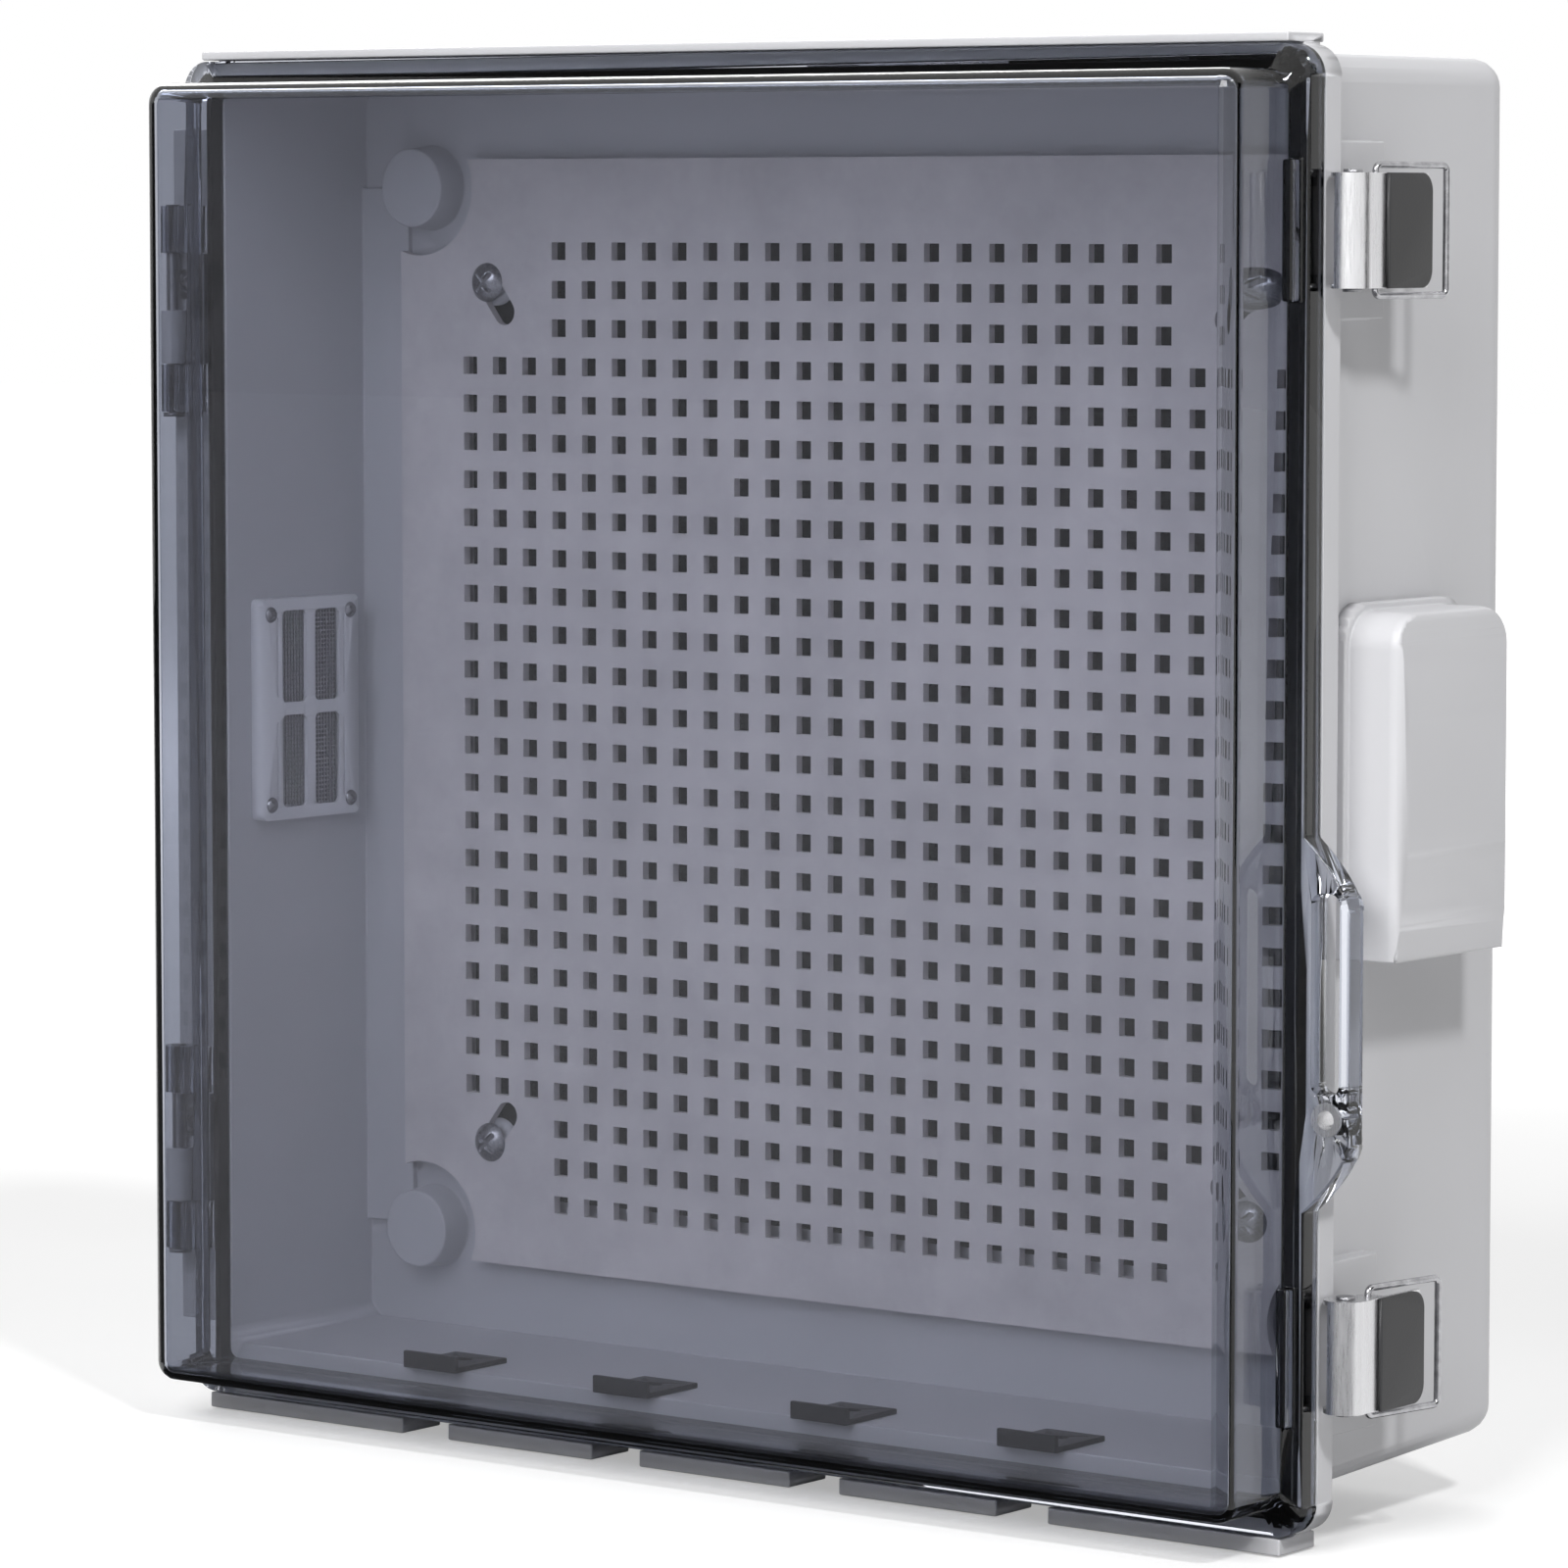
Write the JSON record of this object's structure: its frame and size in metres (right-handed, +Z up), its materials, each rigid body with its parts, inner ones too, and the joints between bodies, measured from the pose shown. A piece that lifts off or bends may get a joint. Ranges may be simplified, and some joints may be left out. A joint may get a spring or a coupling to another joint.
{
  "type": "junction box",
  "caption": "Wall-mounted plastic junction box with a clear domed lid hinged at the side, draw latches, a perforated mounting plate and hooded side vents.",
  "frame": {"origin": "midway between the four wall inserts, in the plane of the wall", "axes": "+Z up, +Y into the wall, so the lid faces -Y; +X to the right, where the latches are"},
  "size_m": [0.4308, 0.14, 0.4078],
  "materials": {
    "shell": "satin light grey",
    "clear_lid": "clear, smoky",
    "rubber": "matte black",
    "plate": "satin grey",
    "steel": "satin",
    "polished_steel": "polished",
    "brass": "knurled",
    "black_plastic": "matte",
    "grip": "satin dark grey",
    "mesh": "woven"
  },
  "bodies": {
    "base": {"enclosure_base": "shell", "mounting_plate": "plate", "plate_screws": "steel", "wall_inserts": "brass", "floor_clip_1": "black_plastic", "floor_clip_2": "black_plastic", "floor_clip_3": "black_plastic", "floor_clip_4": "black_plastic", "hinge_bracket_upper": "shell", "hinge_bracket_lower": "shell", "hinge_pin_upper": "steel", "hinge_pin_lower": "steel", "hinge_screws": "steel", "latch_pin_upper": "polished_steel", "latch_pin_lower": "polished_steel", "vent_hood_left": "shell", "vent_hood_right": "shell", "vent_frame_left": "shell", "vent_frame_right": "shell", "vent_mesh_left": "mesh", "vent_mesh_right": "mesh", "vent_screws_left": "steel", "vent_screws_right": "steel"},
    "lid": {"lid_cover": "clear_lid", "lid_gasket": "rubber", "padlock_eyelet": "polished_steel"},
    "lever_upper": {"latch_lever_upper": "polished_steel", "latch_grip_upper": "grip"},
    "lever_lower": {"latch_lever_lower": "polished_steel", "latch_grip_lower": "grip"},
    "bail_upper": {"latch_bail_upper": "polished_steel"},
    "bail_lower": {"latch_bail_lower": "polished_steel"}
  },
  "joints": [
    {"name": "lid_hinge", "type": "hinge", "parent": "base", "child": "lid", "pos_m": [-0.207, -0.112, 0], "axis": [0, 0, -1], "range_deg": [0, 120]},
    {"name": "lever_upper_pivot", "type": "hinge", "parent": "base", "child": "lever_upper", "pos_m": [0.2065, -0.103, 0.14675], "axis": [0, 0, -1], "range_deg": [0, 80]},
    {"name": "bail_upper_pivot", "type": "hinge", "parent": "lever_upper", "child": "bail_upper", "pos_m": [0.208, -0.0941, 0.14675], "axis": [0, 0, -1], "range_deg": [0, 90]},
    {"name": "lever_lower_pivot", "type": "hinge", "parent": "base", "child": "lever_lower", "pos_m": [0.2065, -0.103, -0.15425], "axis": [0, 0, -1], "range_deg": [0, 80]},
    {"name": "bail_lower_pivot", "type": "hinge", "parent": "lever_lower", "child": "bail_lower", "pos_m": [0.208, -0.0941, -0.15425], "axis": [0, 0, -1], "range_deg": [0, 90]}
  ]
}
